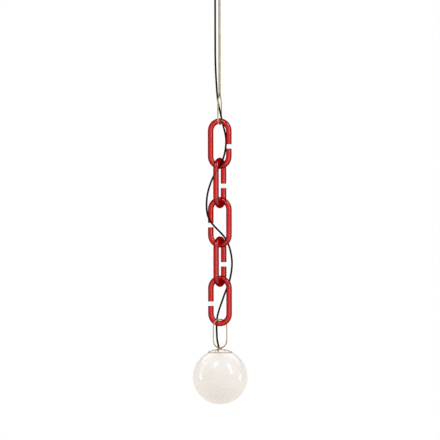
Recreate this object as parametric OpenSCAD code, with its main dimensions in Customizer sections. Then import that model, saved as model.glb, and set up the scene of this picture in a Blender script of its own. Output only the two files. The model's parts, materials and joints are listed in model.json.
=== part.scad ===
// Pendant lamp on a chain of open links: a ceiling bracket carries a thin stem with a wire loop
// at its foot, five tinted rod links hang from that loop, and a second wire loop carries the
// shallow cap, the lampholder and the opal globe. The supply cable is woven down the chain.
// The origin is the centre of the bracket's ceiling face. +Z is up, so the lamp hangs below zero.

/* [Drop] */
// Centre of the globe below the ceiling
globe_drop = 1045; // [950:5:1400]

/* [Globe] */
// Outside diameter of the opal globe
globe_d = 140; // [136:1:150]
// Thickness of the opal glass
glass_t = 3; // [2:0.5:4]
// Diameter of the opening at the top of the globe
opening_d = 50; // [48:1:54]

/* [Links] */
// Diameter of the tinted rod
link_d = 14.5; // [12:0.5:15]
// Outside height of one link
link_h = 130; // [120:1:150]
// Outside width of one link
link_w = 65; // [62:1:72]
// Height of the opening in a link's open side
link_gap = 11; // [8:0.5:16]
// How far that opening sits below the middle of the link
gap_drop = 7.2; // [0:0.1:12]
// Rounding of the cut ends beside the opening
cut_round = 1; // [0.5:0.1:2]

/* [Wire loops] */
// Diameter of the brass wire
wire_d = 3.3; // [3:0.1:4]
// Outside width of a wire loop
loop_w = 41; // [40:0.2:42]
// Outside height of a wire loop
loop_h = 76.5; // [70:0.5:85]
// Turn of the upper loop's plane about the vertical
upper_turn = 98.8; // [90:0.1:105]
// Turn of the lower loop's plane about the vertical
lower_turn = 46.9; // [46:0.1:60]

/* [Stem] */
// Diameter of the stem
stem_d = 6; // [5:0.5:6]

/* [Cable] */
// Diameter of the supply cable
cable_d = 4.1; // [3:0.1:4.1]
// Distance from the stem to the straight part of the cable
cable_side = 12; // [11.5:0.1:12.5]

/* [Cap] */
// Diameter of the shallow cap on the globe
cap_d = 65; // [64:0.5:70]
// Thickness of the cap
cap_t = 1.2; // [0.8:0.1:1.5]
// Thickness of the ring between the cap and the glass
gasket_t = 1; // [0.8:0.1:1.2]

/* [Canopy] */
// Diameter of the ceiling canopy
canopy_d = 120; // [115:1:140]
// Height of the ceiling canopy
canopy_h = 34; // [32:1:36]
// Wall thickness of the canopy
canopy_t = 1.5; // [1:0.1:2]
// Distance between the two ceiling screw holes
screw_pitch = 84; // [80:1:86]

/* [Hidden] */
$fn = 48;

// Small gaps: between brazed or pressed faces, round a cable, round a cable that comes in at
// a slant, and between links that hang on each other
fit = 0.03;
slip = 0.1;
slant_slip = 0.3;
hang_gap = 0.2;
// The lower loop crosses its link at an angle, so its crown rides a little higher
cross_gap = 1.8;

// Loops and links are measured along the centre line of their rod
link_r = link_d / 2;
wire_r = wire_d / 2;
stem_r = stem_d / 2;
cable_r = cable_d / 2;
link_run = link_h - link_d;
link_span = link_w - link_d;
loop_run = loop_h - wire_d;
loop_span = loop_w - wire_d;

// Levels, from the globe up to the stem
globe_r = globe_d / 2;
globe_z = -globe_drop;
cap_in_r = globe_r + gasket_t;
cap_out_r = cap_in_r + cap_t;
cap_top = globe_z + cap_out_r;
saddle_rise = 0.9;
lower_foot = cap_top + saddle_rise + wire_r;
lower_crown = lower_foot + loop_run;
link_5_foot = lower_crown - wire_r - link_r - cross_gap;
link_pitch = link_run - link_d - hang_gap;
link_1_crown = link_5_foot + link_run + 4 * link_pitch;
upper_foot = link_1_crown - link_r - wire_r - hang_gap;
upper_crown = upper_foot + loop_run;

// The even links stand square to the odd ones, and each opening faces its own way
link_turn = [0, 90, 0, 90, 0];
gap_side = [1, 1, -1, 1, -1];

// Ceiling fittings
bracket_t = 2;
bracket_w = 34;
bracket_l = screw_pitch + 20;
tab_w = 16;
ceiling_hole_d = 4.5;
// Holes for the small screws, and how far a cutter runs past the face it opens
screw_hole_r = 1.5;
past = 1;
hub_r = 8;
hub_foot = -16;
spigot_r = 5;
stem_top = -4;
nut_t = 5;
block_at = [0, 24];
block_size = [24, 16, 13];
block_seat = -10;
pole_off = 7;
well_off = 5;
way_z = -9;
clip_foot = -27;
clip_h = 6;
clip_t = 1.2;
clip_screw_at = [-11.4, -11];
sheath_end = clip_foot + clip_h + 2.5;
collar_r = 6.5;
collar_h = 12;

// Fittings inside the globe; heights here are above the globe's centre
carrier_h = 65;
carrier_t = 1.5;
carrier_r = 21;
stud_r = 2.5;
spacer_r = 3.8;
post_off = 9;
spring_ring = 16;
rivet_r = 1.2;
holder_top = 58;
holder_len = 38;
holder_r = 15;
core_top = 48;
bulb_r = 22.5;
bulb_h = -6;

// Across the lower loop's plane, towards its far side, where the cable enters the cap
entry_off = 7;
entry = [-entry_off * sin(lower_turn), entry_off * cos(lower_turn)];

// Cable weave: where the cable stands, in X and Y, at every half link pitch down the chain.
// Row 5 is level with the crown of link 1, row 6 with its middle, and so on down to link 5.
half_pitch = link_pitch / 2;
weave_top = link_1_crown + 5 * half_pitch;
weave = [
    [-cable_side, 0], [-cable_side, 0], [-11.5, 0], [-10, 2], [-7, 6],
    [3, 9.5], [14.5, 7.5],
    [10.5, -6.5], [-14.5, -18.5],
    [-28.5, -18.5], [-24.5, -11.5],
    [13, 8], [26.5, 15.5],
    [21.5, 16], [3, 14],
    [-12.5, 11], [-11.5, 7]
];
weave_steps = 12;
sides = 12;

function level(row) = weave_top - row * half_pitch;
function woven(row) = [weave[row].x, weave[row].y, level(row)];
// The last two points lead the cable into the cap
cable_points = [
    for (row = [0 : len(weave) - 1]) woven(row),
    [entry.x, entry.y, cap_top],
    [entry.x, entry.y, cap_top - half_pitch / 2]
];
// First point of each woven piece of cable, two steps long
piece_start = [4, 6, 8, 10, 12, 14];

// A point on the smooth curve through four points, t running 0 to 1 between the middle two
function between(a, b, c, d, t) =
    (2 * b + (c - a) * t + (2 * a - 5 * b + 4 * c - d) * t * t
        + (3 * b - a - 3 * c + d) * t * t * t) / 2;
// The whole curve from point number first to point number last
function curve(pts, first, last, steps) = concat(
    [
        for (i = [first : last - 1])
            for (k = [0 : steps - 1])
                between(pts[i - 1], pts[i], pts[i + 1], pts[i + 2], k / steps)
    ],
    [pts[last]]
);
// Directions along a path; a curve's own ends are set by their neighbours on the whole curve
function along(path, before, after) = [
    for (i = [0 : len(path) - 1])
        let (a = i == 0 ? before : path[i - 1])
        let (b = i == len(path) - 1 ? after : path[i + 1])
        (b - a) / norm(b - a)
];

// A round tube with a solid core along a path that never runs along X
module tube(path, r, before, after) {
    dirs = along(path, before, after);
    n = len(path);
    rings = [
        for (i = [0 : n - 1])
            let (u = cross(dirs[i], [1, 0, 0]))
            let (u1 = u / norm(u))
            let (v1 = cross(dirs[i], u1))
            for (k = [0 : sides - 1])
                path[i] + r * (cos(360 * k / sides) * u1 + sin(360 * k / sides) * v1)
    ];
    walls = [
        for (i = [0 : n - 2])
            for (k = [0 : sides - 1])
                let (m = (k + 1) % sides)
                [i * sides + k, i * sides + m, (i + 1) * sides + m, (i + 1) * sides + k]
    ];
    first_cap = [for (k = [sides - 1 : -1 : 0]) k];
    last_cap = [for (k = [0 : sides - 1]) (n - 1) * sides + k];
    polyhedron(rings, concat(walls, [first_cap, last_cap]), convexity = 6);
}

// Piece of the woven cable between two numbered points
module woven_cable(first, last) {
    step = 1 / weave_steps;
    path = curve(cable_points, first, last, weave_steps);
    before = between(cable_points[first - 2], cable_points[first - 1],
        cable_points[first], cable_points[first + 1], 1 - step);
    after = last + 2 < len(cable_points)
        ? between(cable_points[last - 1], cable_points[last],
            cable_points[last + 1], cable_points[last + 2], step)
        : 2 * cable_points[last] - path[len(path) - 2];
    color("#161616") tube(path, cable_r, before, after);
}

// Half a ring of rod standing in the XZ plane, crown up
module half_ring(span, d) {
    rotate([90, 0, 0]) rotate_extrude(angle = 180) translate([span / 2, 0]) circle(d = d);
}

// Closed loop in the XZ plane; its crown's centre line is at the origin
module rod_loop(span, run, d) {
    translate([0, 0, -span / 2]) half_ring(span, d);
    translate([0, 0, span / 2 - run]) mirror([0, 0, 1]) half_ring(span, d);
    for (side = [-1, 1]) {
        translate([side * span / 2, 0, span / 2 - run]) cylinder(d = d, h = run - span);
    }
}

// Straight end of rod with a softened cut, from the origin up to its length
module cut_end(length, d, soft) {
    rotate_extrude() {
        square([d / 2 - soft, length]);
        square([d / 2, length - soft]);
        translate([d / 2 - soft, length - soft]) circle(r = soft);
    }
}

// Link whose strand on +X is open; its crown's centre line is at the origin
module open_link() {
    straight = link_run - link_span;
    low_stub = straight / 2 - gap_drop - link_gap / 2;
    high_stub = straight - low_stub - link_gap;
    foot = link_span / 2 - link_run;
    translate([0, 0, -link_span / 2]) half_ring(link_span, link_d);
    translate([0, 0, foot]) mirror([0, 0, 1]) half_ring(link_span, link_d);
    translate([-link_span / 2, 0, foot]) cylinder(d = link_d, h = straight);
    translate([link_span / 2, 0, foot]) cut_end(low_stub, link_d, cut_round);
    translate([link_span / 2, 0, -link_span / 2]) {
        mirror([0, 0, 1]) cut_end(high_stub, link_d, cut_round);
    }
}

module link(number) {
    turn = link_turn[number - 1] + (gap_side[number - 1] < 0 ? 180 : 0);
    translate([0, 0, link_1_crown - (number - 1) * link_pitch]) {
        rotate([0, 0, turn]) color("#b3141a", 0.85) open_link();
    }
}

// Upright cylinder between two heights
module post(at, low, high, r) {
    translate([at.x, at.y, low]) cylinder(r = r, h = high - low);
}

// Pan-head screw: head face up at the origin level when up is 1, face down when -1
module screw(at, seat, head_r, head_h, shank_r, shank_len, up) {
    translate([at.x, at.y, seat]) mirror([0, 0, up < 0 ? 1 : 0]) {
        difference() {
            cylinder(r = head_r, h = head_h);
            translate([-head_r, -0.4, head_h - 0.7]) cube([2 * head_r, 0.8, 1]);
        }
        translate([0, 0, -shank_len]) cylinder(r = shank_r, h = shank_len);
    }
}

// Hexagonal nut with a round bore
module nut(low, t, across, bore_r) {
    translate([0, 0, low]) difference() {
        cylinder(d = across / cos(30), h = t, $fn = 6);
        translate([0, 0, -1]) cylinder(r = bore_r, h = t + 2);
    }
}

// ---- Ceiling fittings ----

module ceiling_bracket() {
    color("#b8babd") difference() {
        translate([0, 0, -bracket_t]) {
            translate([-bracket_w / 2, -screw_pitch / 2, 0]) {
                cube([bracket_w, screw_pitch, bracket_t]);
            }
            for (side = [-1, 1]) {
                translate([-tab_w / 2, side > 0 ? screw_pitch / 2 : -bracket_l / 2, 0]) {
                    cube([tab_w, (bracket_l - screw_pitch) / 2, bracket_t]);
                }
            }
        }
        for (side = [-1, 1]) {
            post([0, side * screw_pitch / 2], -bracket_t - past, past, ceiling_hole_d / 2);
        }
        post([0, 0], -bracket_t - past, past, spigot_r + fit);
        post(clip_screw_at, -bracket_t - past, past, screw_hole_r);
        post(block_at, -bracket_t - past, past, screw_hole_r);
    }
}

module stem_hub() {
    color("#c9a467") difference() {
        union() {
            post([0, 0], hub_foot, -bracket_t, hub_r);
            post([0, 0], -bracket_t, -0.2, spigot_r);
        }
        post([0, 0], hub_foot - past, stem_top + 0.5, stem_r + fit);
    }
}

module lock_nut() {
    color("#c9a467") nut(hub_foot - nut_t, nut_t, 10, stem_r + fit);
}

module terminal_block() {
    way_r = 1.7;
    foot = -bracket_t - block_size.z;
    color("#efeee8") difference() {
        translate([block_at.x - block_size.x / 2, block_at.y - block_size.y / 2, foot]) {
            cube(block_size);
        }
        // wire ways along Y, one per pole, and a screw well into each end of them
        for (pole = [-pole_off, pole_off]) {
            translate([pole, block_at.y - 10, way_z]) {
                rotate([-90, 0, 0]) cylinder(r = way_r, h = 20);
            }
            for (end = [-well_off, well_off]) {
                post([pole, block_at.y + end], foot - past, way_z, way_r);
            }
        }
        post(block_at, foot - past, past, screw_hole_r);
        post(block_at, foot - past, block_seat, 3);
    }
}

module terminal_screws() {
    color("#c9a467") for (pole = [-pole_off, pole_off]) {
        for (end = [-well_off, well_off]) {
            screw([pole, block_at.y + end], -12.5, 1.6, 1.4, 1, 2.2, -1);
        }
    }
}

module block_screw() {
    color("#a9abae") screw(block_at, block_seat, 2.8, 2, 1.4, 9.6, -1);
}

module cord_clip() {
    ring_r = cable_r + slip + clip_t;
    wall = -cable_side - ring_r;
    reach = 14;
    leg_w = 6;
    color("#d8d8d4") difference() {
        union() {
            post([-cable_side, 0], clip_foot, clip_foot + clip_h, ring_r);
            translate([wall, -reach, clip_foot]) {
                cube([clip_t, reach, clip_h]);
                cube([clip_t, leg_w, -bracket_t - clip_foot]);
            }
            translate([wall, -reach, -bracket_t - clip_t]) cube([leg_w + 1, leg_w, clip_t]);
        }
        post([-cable_side, 0], clip_foot - past, clip_foot + clip_h + past, cable_r + slip);
        post(clip_screw_at, -bracket_t - clip_t - past, past, screw_hole_r);
    }
}

module clip_screw() {
    color("#a9abae") screw(clip_screw_at, -bracket_t - clip_t, 2.6, 1.8, 1.4, 2.8, -1);
}

// Two insulated cores from the end of the sheath to the near side of the terminal block
module supply_cores() {
    core_r = 0.8;
    start = sheath_end + fit;
    face = block_at.y - block_size.y / 2;
    for (side = [-1, 1]) {
        pts = [
            [-cable_side + side, 0, start - 10],
            [-cable_side + side, 0, start],
            [-10.7 + 1.7 * side, 5, -12],
            [-4.7 + 5.2 * side, 10.5, -9.6],
            [-0.5 + 6.8 * side, face - 2.8, way_z],
            [pole_off * side, face + 2, way_z],
            [pole_off * side, face + 8, way_z]
        ];
        path = curve(pts, 1, 5, 8);
        color(side > 0 ? "#7a4a2a" : "#2f6db0") tube(path, core_r, pts[0], pts[6]);
    }
}

// ---- Canopy, which slides down the stem once its collar screw is loose ----

module cup_outline(r, h, round_r) {
    square([r - round_r, h]);
    translate([0, round_r]) square([r, h - round_r]);
    translate([r - round_r, round_r]) circle(r = round_r);
}

module canopy() {
    color("#c9a467") difference() {
        translate([0, 0, -canopy_h]) rotate_extrude($fn = 96) difference() {
            intersection() {
                cup_outline(canopy_d / 2, canopy_h, 7);
                square([canopy_d, canopy_h]);
            }
            translate([0, canopy_t]) {
                intersection() {
                    cup_outline(canopy_d / 2 - canopy_t, canopy_h, 7 - canopy_t);
                    square([canopy_d, canopy_h + 1]);
                }
            }
        }
        post([0, 0], -canopy_h - 1, -canopy_h + canopy_t + 1, stem_r + 0.2);
        post([-cable_side, 0], -canopy_h - 1, -canopy_h + canopy_t + 1, cable_r + 1.7);
    }
}

module canopy_collar() {
    color("#c9a467") difference() {
        translate([0, 0, -canopy_h - collar_h]) {
            cylinder(r1 = collar_r - 1, r2 = collar_r, h = 1);
            translate([0, 0, 1]) cylinder(r = collar_r, h = collar_h - 1);
        }
        post([0, 0], -canopy_h - collar_h - 1, 0, stem_r + slip);
        translate([0, 0, -canopy_h - collar_h / 2]) rotate([0, 90, 0]) cylinder(r = 1.5, h = 10);
    }
}

module collar_screw() {
    color("#8e9093") translate([stem_r + fit, 0, -canopy_h - collar_h / 2]) rotate([0, 90, 0]) {
        difference() {
            cylinder(r = 1.45, h = collar_r - stem_r);
            translate([0, 0, collar_r - stem_r - 1]) cylinder(r = 0.75, h = 2, $fn = 6);
        }
    }
}

// Rubber ring pressed into a hole: a neck between two lips
module grommet(at, low, sheet, neck_r, lip_r, lip_t, bore_r) {
    difference() {
        union() {
            post(at, low - lip_t, low, lip_r);
            post(at, low, low + sheet, neck_r);
            post(at, low + sheet, low + sheet + lip_t, lip_r);
        }
        post(at, low - lip_t - 1, low + sheet + lip_t + 1, bore_r);
    }
}

module canopy_grommet() {
    color("#1d1d1d") {
        grommet([-cable_side, 0], -canopy_h, canopy_t, cable_r + 1.65, 5.2, 1.2, cable_r + slip);
    }
}

// ---- Stem and loops ----

module stem() {
    color("#c9a467") difference() {
        post([0, 0], upper_crown, stem_top, stem_r);
        translate([0, 0, upper_crown]) rotate([0, 0, upper_turn]) {
            rod_loop(loop_span, loop_run, wire_d + 2 * fit);
        }
    }
}

module wire_loop(crown, turn) {
    translate([0, 0, crown]) rotate([0, 0, turn]) {
        color("#c9a467") rod_loop(loop_span, loop_run, wire_d);
    }
}

// Brass seat brazed under the lower loop, with the threaded stud that holds everything below
module loop_saddle() {
    seat_len = 6;
    seat_w = 4;
    sunk = 0.8;
    seat_h = lower_foot - wire_r / 2 - cap_top + sunk;
    color("#c9a467") difference() {
        union() {
            rotate([0, 0, lower_turn]) translate([0, 0, cap_top - sunk]) {
                translate([-seat_len / 2, -seat_w / 2, 0]) cube([seat_len, seat_w, seat_h]);
                for (side = [-1, 1]) {
                    translate([side * seat_len / 2, 0, 0]) cylinder(d = seat_w, h = seat_h);
                }
            }
            post([0, 0], globe_z + carrier_h - 6.5, cap_top, stud_r);
        }
        translate([0, 0, lower_crown]) rotate([0, 0, lower_turn]) {
            rod_loop(loop_span, loop_run, wire_d + 2 * fit);
        }
        translate([0, 0, globe_z]) difference() {
            sphere(r = cap_out_r + fit, $fn = 96);
            cylinder(r = stud_r, h = 2 * globe_r);
        }
    }
}

// ---- Cap and the fittings inside the globe ----

// Part of a hollow ball above the globe's centre, between two distances from the axis
module ball_band(in_r, out_r, near, far) {
    translate([0, 0, globe_z]) rotate_extrude($fn = 96) intersection() {
        difference() {
            circle(r = out_r);
            circle(r = in_r);
        }
        translate([near, 0]) square([far - near, out_r + 1]);
    }
}

module cap() {
    color("#c9a467") difference() {
        ball_band(cap_in_r, cap_out_r, stud_r + fit, cap_d / 2);
        post(entry, globe_z + cap_in_r - 5, cap_top + 5, 3.1);
    }
}

module cap_grommet() {
    hole = sqrt(cap_out_r * cap_out_r - entry_off * entry_off);
    color("#1d1d1d") difference() {
        union() {
            post(entry, globe_z + hole + 0.6, globe_z + hole + 1.8, 4);
            post(entry, globe_z + hole - 3.6, globe_z + hole + 0.6, 3.05);
        }
        post(entry, globe_z + hole - 5, globe_z + hole + 3, cable_r + slant_slip);
    }
}

module globe_gasket() {
    color("#e4e2dc") ball_band(globe_r + fit, cap_in_r - fit, opening_d / 2 + 1.5, cap_d / 2 - 1);
}

module stud_spacer() {
    color("#c9a467") difference() {
        post([0, 0], globe_z + carrier_h + carrier_t, globe_z + cap_in_r - 0.12, spacer_r);
        post([0, 0], globe_z + carrier_h, globe_z + cap_in_r + 1, stud_r + fit);
    }
}

// Direction of each of the three leaf springs and its rivet
function leaf_turn(k) = lower_turn - 90 + 120 * k;

module carrier_plate() {
    low = globe_z + carrier_h;
    high = low + carrier_t;
    color("#b8babd") difference() {
        post([0, 0], low, high, carrier_r);
        post([0, 0], low - past, high + past, stud_r + slip);
        post(entry, low - past, high + past, 3.2);
        for (side = [-1, 1]) {
            rotate([0, 0, lower_turn]) {
                post([side * post_off, 0], low - past, high + past, screw_hole_r);
            }
        }
        for (k = [0 : 2]) {
            rotate([0, 0, leaf_turn(k)]) {
                post([spring_ring, 0], low - past, high + past, rivet_r + 0.05);
            }
        }
    }
}

module stud_nut() {
    color("#c9a467") nut(globe_z + carrier_h - 4, 4, 8, stud_r + fit);
}

// Three leaf springs that grip the inside of the glass around its opening
module globe_springs() {
    leaf_t = 0.5;
    leaf_w = 6;
    edge = opening_d / 2;
    top = carrier_h - fit;
    line = [[12, top], [edge - 4.5, top], [edge - 2, top - 7], [edge + 2.5, top - 4.9]];
    back = [for (i = [len(line) - 1 : -1 : 0]) line[i] - [0, leaf_t]];
    color("#a9abae") translate([0, 0, globe_z]) for (k = [0 : 2]) {
        rotate([0, 0, leaf_turn(k)]) difference() {
            rotate([90, 0, 0]) translate([0, 0, -leaf_w / 2]) {
                linear_extrude(leaf_w) polygon(concat(line, back));
            }
            post([spring_ring, 0], top - 3, top + past, rivet_r + 0.05);
        }
    }
}

module spring_rivets() {
    head_r = 2.3;
    head_t = 1;
    low = globe_z + carrier_h - 0.6;
    high = globe_z + carrier_h + carrier_t + fit;
    color("#8e9093") for (k = [0 : 2]) {
        rotate([0, 0, leaf_turn(k)]) {
            post([spring_ring, 0], low - head_t, low, head_r);
            post([spring_ring, 0], low, high, rivet_r);
            post([spring_ring, 0], high, high + head_t, head_r);
        }
    }
}

module holder_posts() {
    color("#c9a467") rotate([0, 0, lower_turn]) for (side = [-1, 1]) {
        difference() {
            post([side * post_off, 0], globe_z + holder_top, globe_z + carrier_h, 2.7);
            post([side * post_off, 0], globe_z + holder_top - past, globe_z + carrier_h + past,
                screw_hole_r);
        }
    }
}

module post_screws() {
    color("#a9abae") rotate([0, 0, lower_turn]) for (side = [-1, 1]) {
        screw([side * post_off, 0], globe_z + carrier_h + carrier_t, 2.6, 1.6, 1.4, 4.5, 1);
        screw([side * post_off, 0], globe_z + holder_top - 2, 2.6, 1.6, 1.4, 4.5, -1);
    }
}

module lampholder_shell() {
    wall_t = 1.5;
    roof_t = 2;
    low = globe_z + holder_top - holder_len;
    high = globe_z + holder_top;
    color("#ece9e2") difference() {
        post([0, 0], low, high, holder_r);
        post([0, 0], low - past, high - roof_t, holder_r - wall_t);
        post(entry, high - roof_t - past, high + past, cable_r + 0.6);
        for (side = [-1, 1]) {
            rotate([0, 0, lower_turn]) {
                post([side * post_off, 0], high - roof_t - past, high + past, screw_hole_r);
            }
        }
    }
}

module lampholder_core() {
    top = globe_z + core_top;
    color("#f4f2ec") difference() {
        post([0, 0], top - 24, top, holder_r - 1.6);
        post([0, 0], top - 24 - past, top - 4, 7.9);
        post([0, 0], top - 4 - past, top + past, 1.6);
    }
}

// Threaded sleeve for the bulb's base, and the centre contact above it
module holder_contacts() {
    top = globe_z + core_top;
    color("#c9a467") {
        difference() {
            post([0, 0], top - 22, top - 6, 7.8);
            post([0, 0], top - 22 - past, top - 6 + past, 7.2);
        }
        post([0, 0], top - 5.4, top - 4.1, 3);
        post([0, 0], top - 4.1, top + 1.5, 1.5);
    }
}

// Two short cores from the end of the cable to the top of the core block
module holder_cores() {
    for (side = [-1, 1]) {
        from = [entry.x + side, entry.y, globe_z + 53];
        to = [side * 6, entry.y - 3, globe_z + core_top + 0.4];
        mid = (from + to) / 2 + [side, 0, 0.4];
        path = curve([from + [0, 0, 3], from, mid, to, to - [0, 0, 3]], 1, 3, 5);
        color(side > 0 ? "#7a4a2a" : "#2f6db0") tube(path, 0.7, from + [0, 0, 3], to - [0, 0, 3]);
    }
}

module globe() {
    color("#f4efe8") translate([0, 0, globe_z]) rotate_extrude($fn = 120) difference() {
        circle(r = globe_r);
        circle(r = globe_r - glass_t);
        translate([-globe_r - 1, -globe_r - 1]) square([globe_r + 1, globe_d + 2]);
        square([opening_d / 2, globe_r + 1]);
    }
}

// Bulb envelope: a ball that narrows smoothly into the neck of the base
module bulb_outline(r, neck_r, top) {
    turn_at = 52;
    join = [r * cos(turn_at), bulb_h + r * sin(turn_at)];
    polygon(concat(
        [[0, bulb_h - r]],
        [for (a = [-85 : 5 : turn_at]) [r * cos(a), bulb_h + r * sin(a)]],
        [
            for (t = [0.2 : 0.2 : 0.8])
                let (ease = (1 - cos(180 * t)) / 2)
                [join.x + (neck_r - join.x) * ease, join.y + (top - 3 - join.y) * t]
        ],
        [[neck_r, top - 3], [neck_r, top], [0, top]]
    ));
}

module bulb_glass() {
    color("#f2f2ee", 0.5) translate([0, 0, globe_z]) rotate_extrude() difference() {
        bulb_outline(bulb_r, 8.5, 24);
        bulb_outline(bulb_r - 1, 7.5, 23);
    }
}

module bulb_base() {
    low = globe_z + 24;
    color("#a9abae") {
        post([0, 0], low, low + 16, 6.5);
        for (k = [0 : 3]) {
            translate([0, 0, low + 4 + 3 * k]) rotate_extrude() {
                translate([6.3, 0]) circle(r = 0.7, $fn = 16);
            }
        }
        translate([0, 0, low + 16]) cylinder(r1 = 6.5, r2 = 3, h = 1.6);
        post([0, 0], low + 17.6, low + 18.5, 2.4);
    }
}

// Glass post inside the bulb with four light-emitting rods around it
module bulb_filaments() {
    color("#e8c860") translate([0, 0, globe_z]) {
        post([0, 0], bulb_h - 8, 22.9, 1.2);
        for (k = [0 : 3]) {
            rotate([0, 0, 45 + 90 * k]) {
                post([6, 0], bulb_h - 12, bulb_h + 14, 0.8);
                translate([0, 0, bulb_h - 7]) rotate([0, 90, 0]) cylinder(r = 0.35, h = 6);
                translate([0, 0, bulb_h + 9]) rotate([0, 90, 0]) cylinder(r = 0.35, h = 6);
            }
        }
    }
}

// ---- Supply cable ----

// Straight down from the sheath's end, then along the first rows of the weave
module cable_upper() {
    start = [-cable_side, 0, sheath_end];
    woven_path = curve(cable_points, 1, 4, weave_steps);
    after = between(cable_points[3], cable_points[4], cable_points[5], cable_points[6],
        1 / weave_steps);
    color("#161616") {
        tube(concat([start], woven_path), cable_r, start + [0, 0, 1], after);
    }
}

// From the last row of the weave through the cap to the lampholder
module cable_tail() {
    last = len(cable_points) - 2;
    woven_path = curve(cable_points, last - 1, last, weave_steps);
    before = between(cable_points[last - 3], cable_points[last - 2],
        cable_points[last - 1], cable_points[last], 1 - 1 / weave_steps);
    end = [entry.x, entry.y, globe_z + 53.5];
    color("#161616") tube(concat(woven_path, [end]), cable_r, before, end - [0, 0, 1]);
}

ceiling_bracket();
stem_hub();
lock_nut();
terminal_block();
terminal_screws();
block_screw();
cord_clip();
clip_screw();
supply_cores();
canopy();
canopy_collar();
collar_screw();
canopy_grommet();
stem();
wire_loop(upper_crown, upper_turn);  // upper_loop
link(1);  // link_1
link(2);  // link_2
link(3);  // link_3
link(4);  // link_4
link(5);  // link_5
wire_loop(lower_crown, lower_turn);  // lower_loop
loop_saddle();
cap();
cap_grommet();
globe_gasket();
stud_spacer();
carrier_plate();
stud_nut();
globe_springs();
spring_rivets();
holder_posts();
post_screws();
lampholder_shell();
lampholder_core();
holder_contacts();
holder_cores();
globe();
bulb_glass();
bulb_base();
bulb_filaments();
cable_upper();
woven_cable(piece_start[0], piece_start[0] + 2);  // cable_1
woven_cable(piece_start[1], piece_start[1] + 2);  // cable_2
woven_cable(piece_start[2], piece_start[2] + 2);  // cable_3
woven_cable(piece_start[3], piece_start[3] + 2);  // cable_4
woven_cable(piece_start[4], piece_start[4] + 2);  // cable_5
woven_cable(piece_start[5], piece_start[5] + 2);  // cable_6
cable_tail();
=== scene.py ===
import json
import math

import bmesh
import bpy
import numpy as np
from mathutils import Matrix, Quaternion, Vector


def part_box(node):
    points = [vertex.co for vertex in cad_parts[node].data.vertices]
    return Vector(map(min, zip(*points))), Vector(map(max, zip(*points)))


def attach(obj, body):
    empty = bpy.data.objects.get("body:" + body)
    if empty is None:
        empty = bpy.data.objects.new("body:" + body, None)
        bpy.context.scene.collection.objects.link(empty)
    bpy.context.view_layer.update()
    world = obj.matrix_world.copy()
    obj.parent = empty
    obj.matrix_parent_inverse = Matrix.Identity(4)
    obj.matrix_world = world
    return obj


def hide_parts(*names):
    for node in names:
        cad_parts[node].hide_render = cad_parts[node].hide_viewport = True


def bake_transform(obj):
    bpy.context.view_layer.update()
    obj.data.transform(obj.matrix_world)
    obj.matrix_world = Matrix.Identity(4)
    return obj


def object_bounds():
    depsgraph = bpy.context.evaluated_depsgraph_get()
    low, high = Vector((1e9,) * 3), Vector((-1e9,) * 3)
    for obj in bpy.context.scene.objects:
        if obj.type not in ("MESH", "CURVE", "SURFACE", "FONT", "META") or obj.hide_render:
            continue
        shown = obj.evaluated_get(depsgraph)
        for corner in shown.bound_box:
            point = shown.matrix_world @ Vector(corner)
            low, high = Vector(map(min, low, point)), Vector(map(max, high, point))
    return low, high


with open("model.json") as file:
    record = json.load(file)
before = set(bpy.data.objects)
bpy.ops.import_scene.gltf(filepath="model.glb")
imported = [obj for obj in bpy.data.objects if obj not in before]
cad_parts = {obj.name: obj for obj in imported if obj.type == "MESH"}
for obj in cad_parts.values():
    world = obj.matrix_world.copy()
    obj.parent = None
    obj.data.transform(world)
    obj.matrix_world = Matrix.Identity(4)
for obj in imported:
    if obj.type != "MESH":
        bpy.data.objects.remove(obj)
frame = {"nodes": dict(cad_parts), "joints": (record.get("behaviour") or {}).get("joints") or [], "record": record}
cad_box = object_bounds()

NODES = frame["nodes"]
JOINTS = {joint["name"]: joint for joint in frame["joints"]}
MM = 0.001
CREASE = 40
ON_AXIS = 1e-7

# The camera stands this far round the object, and level with it
CAMERA_TURN = math.radians(22.6)
AHEAD = Vector((-math.sin(CAMERA_TURN), math.cos(CAMERA_TURN), 0))
RIGHT = Vector((math.cos(CAMERA_TURN), math.sin(CAMERA_TURN), 0))
UP = Vector((0, 0, 1))


# ---- Measuring the frame ----

def points_of(node):
    """Every vertex of a CAD node."""
    return np.array([v.co for v in NODES[node].data.vertices], float)


def low_of(node):
    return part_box(node)[0]


def high_of(node):
    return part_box(node)[1]


def standing_loop(node):
    """Rod size, centre-line width and direction of a loop of rod that stands upright on the axis."""
    flat = points_of(node)[:, :2]
    angles = np.radians(np.arange(0, 180, 0.1))
    normals = np.stack([-np.sin(angles), np.cos(angles)])
    reach = flat @ normals
    thickness = reach.max(0) - reach.min(0)
    turn = angles[thickness.argmin()]
    rod = float(thickness.min())
    along = np.array([math.cos(turn), math.sin(turn)])
    spread = flat @ along
    width = float(spread.max() - spread.min()) - rod
    return rod, width, Vector((along[0], along[1], 0))


def opening_of(node, along, width):
    """Side (+1 or -1 along the link's direction) and the two levels of a link's open gap."""
    pts = points_of(node)
    top, foot = high_of(node).z, low_of(node).z
    rod = top - foot
    reach = pts[:, :2] @ np.array(along[:2])
    inner = width / 2 + (pts[:, :2] @ np.array([-along[1], along[0]])).max()
    straight = pts[(pts[:, 2] < top - inner - MM) & (pts[:, 2] > foot + inner + MM)]
    side = 1 if (straight[:, :2] @ np.array(along[:2])).mean() > 0 else -1
    levels = np.sort(straight[:, 2])
    widest = np.diff(levels).argmax()
    return side, levels[widest], levels[widest + 1]


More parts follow.
